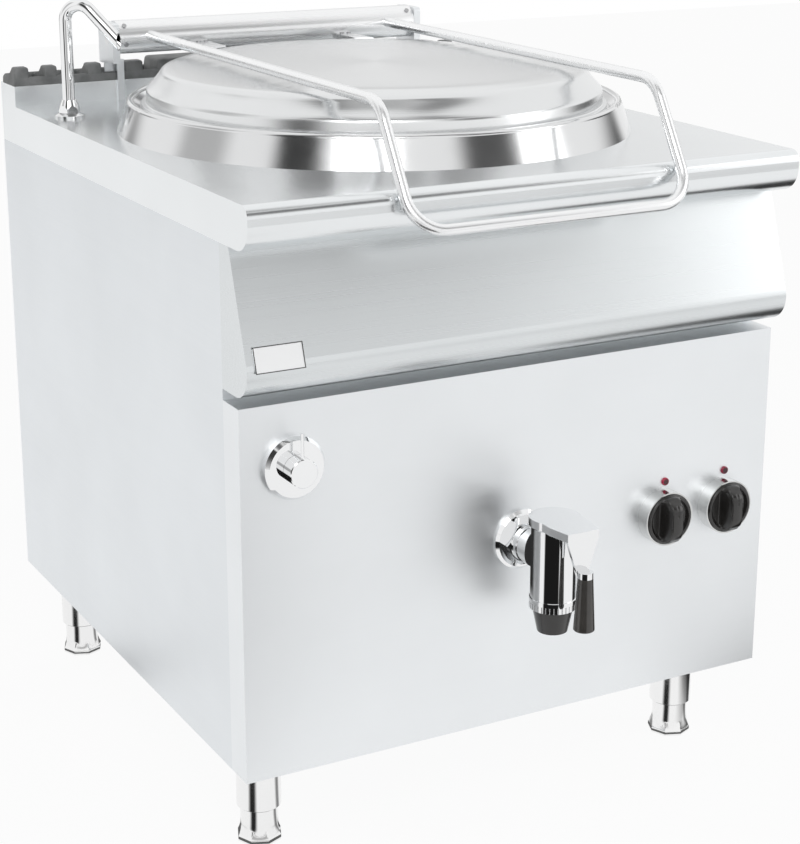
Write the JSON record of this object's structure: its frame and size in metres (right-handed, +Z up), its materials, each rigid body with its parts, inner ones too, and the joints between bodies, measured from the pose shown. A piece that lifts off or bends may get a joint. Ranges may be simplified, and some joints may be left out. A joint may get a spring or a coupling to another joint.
{
  "type": "steam jacketed kettle",
  "caption": "Floor-standing steam jacketed boiling kettle: round vessel in a square cabinet, balanced lid with loop handle, swivel spout, drain tap, control knobs and screw feet.",
  "frame": {"origin": "on the floor, in the middle of the outer size", "axes": "+Z up; +X to the right of someone facing the front; the front, with the tap and knobs, faces -Y"},
  "size_m": [0.8, 1.0297, 1.0595],
  "materials": {
    "brushed": "satin brushed",
    "satin": "polished satin",
    "chrome": "mirror polished",
    "cast_iron": "rough cast, matt",
    "spring_steel": "plain",
    "brass": "machined",
    "copper_pipe": "drawn tube",
    "black_plastic": "moulded",
    "lamp_red": "clear red lens",
    "lamp_dark": "dark red lens, unlit",
    "insulation": "mineral wool blanket"
  },
  "bodies": {
    "cabinet": {"worktop": "brushed", "rear_upstand": "brushed", "left_side_panel": "brushed", "right_side_panel": "brushed", "rear_panel": "brushed", "front_panel": "brushed", "control_fascia": "brushed", "front_rail": "brushed", "base_tray": "brushed", "hinge_bracket_left": "brushed", "hinge_bracket_right": "brushed", "jacket_shell": "brushed", "collar": "satin", "inner_vessel": "satin", "drain_strainer": "satin", "drain_pipe": "satin", "hinge_shaft": "satin", "badge_plate": "chrome", "spout_flange": "chrome", "spout_nut": "chrome", "water_rosette": "chrome", "tap_flange": "chrome", "tap_union_nut": "chrome", "tap_body": "chrome", "tap_knurled_ring": "chrome", "knob_bezels": "chrome", "leg_tubes": "chrome", "flue_grille": "cast_iron", "balance_springs": "spring_steel", "heating_elements": "spring_steel", "mixer_valve": "brass", "safety_valve": "brass", "water_inlets": "brass", "water_pipes": "copper_pipe", "tap_nozzle": "black_plastic", "thermostat_body": "black_plastic", "power_switch_body": "black_plastic", "contactor": "black_plastic", "cable_gland": "black_plastic", "heating_lamp": "lamp_red", "power_lamp": "lamp_dark", "insulation_blanket": "insulation"},
    "lid": {"lid_shell": "satin", "lid_inner_skin": "satin", "hinge_tube": "satin", "hinge_bushes": "brass", "handle_loop": "satin", "lid_straps": "satin", "lid_screws": "spring_steel"},
    "spout": {"spout_tube": "chrome"},
    "water_handle": {"water_control": "chrome"},
    "tap_handle": {"tap_lever": "chrome", "tap_grip": "black_plastic", "tap_plug": "brass"},
    "thermostat_dial": {"thermostat_knob": "black_plastic"},
    "power_dial": {"power_knob": "black_plastic"},
    "front_left_foot": {"foot_front_left": "chrome"},
    "front_right_foot": {"foot_front_right": "chrome"},
    "rear_left_foot": {"foot_rear_left": "chrome"},
    "rear_right_foot": {"foot_rear_right": "chrome"}
  },
  "joints": [
    {"name": "lid_hinge", "type": "hinge", "parent": "cabinet", "child": "lid", "pos_m": [0, 0.4269, 0.9873], "axis": [-1, 0, 0], "range_deg": [0, 80]},
    {"name": "spout_swivel", "type": "hinge", "parent": "cabinet", "child": "spout", "pos_m": [-0.36, 0.3249, 0.9], "axis": [0, 0, 1], "range_deg": [-90, 90]},
    {"name": "water_turn", "type": "hinge", "parent": "cabinet", "child": "water_handle", "pos_m": [-0.33, -0.3651, 0.556], "axis": [0, 1, 0], "range_deg": [-90, 90]},
    {"name": "tap_turn", "type": "hinge", "parent": "cabinet", "child": "tap_handle", "pos_m": [0, -0.4281, 0.402], "axis": [0, 0, 1], "range_deg": [0, 90]},
    {"name": "thermostat_turn", "type": "hinge", "parent": "cabinet", "child": "thermostat_dial", "pos_m": [0.2255, -0.3651, 0.395], "axis": [0, 1, 0], "range_deg": [0, 270]},
    {"name": "power_turn", "type": "hinge", "parent": "cabinet", "child": "power_dial", "pos_m": [0.326, -0.3651, 0.395], "axis": [0, 1, 0], "range_deg": [0, 270]},
    {"name": "front_left_level", "type": "slide", "parent": "cabinet", "child": "front_left_foot", "axis": [0, 0, -1], "range_m": [-0.027, 0.017]},
    {"name": "front_right_level", "type": "slide", "parent": "cabinet", "child": "front_right_foot", "axis": [0, 0, -1], "range_m": [-0.027, 0.017]},
    {"name": "rear_left_level", "type": "slide", "parent": "cabinet", "child": "rear_left_foot", "axis": [0, 0, -1], "range_m": [-0.027, 0.017]},
    {"name": "rear_right_level", "type": "slide", "parent": "cabinet", "child": "rear_right_foot", "axis": [0, 0, -1], "range_m": [-0.027, 0.017]}
  ]
}
